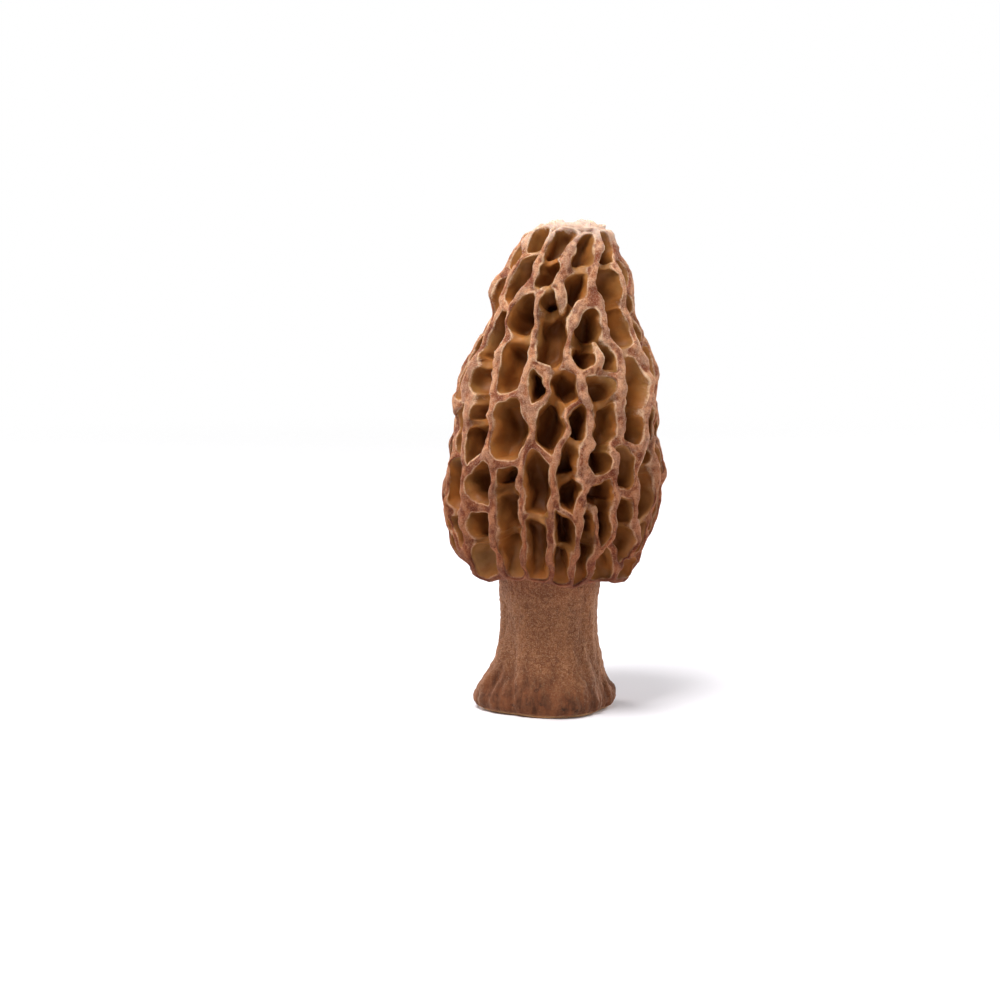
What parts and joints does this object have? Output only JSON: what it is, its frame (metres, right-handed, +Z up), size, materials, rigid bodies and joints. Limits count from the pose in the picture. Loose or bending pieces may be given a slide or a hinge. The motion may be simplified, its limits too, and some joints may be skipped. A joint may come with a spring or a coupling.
{
  "type": "morel mushroom",
  "caption": "Fresh hollow morel mushroom with a tall honeycombed brown cap on a pale stem with a flared foot, standing on its flat cut end.",
  "frame": {"origin": "middle of the base of the bounding box, on the surface that the cut end of the stem rests on", "axes": "+Z up along the mushroom, -Y towards the side that the picture shows, +X to that side's right, the way the tip leans"},
  "size_m": [0.045, 0.044, 0.098],
  "materials": {
    "cap_flesh": "moist matt flesh, tan along the rib crests and amber brown in the pits",
    "stem_flesh": "dry matt flesh with a fine mealy grain, browned at the cut foot"
  },
  "bodies": {
    "root": {"cap": "cap_flesh", "stem": "stem_flesh"}
  },
  "joints": []
}
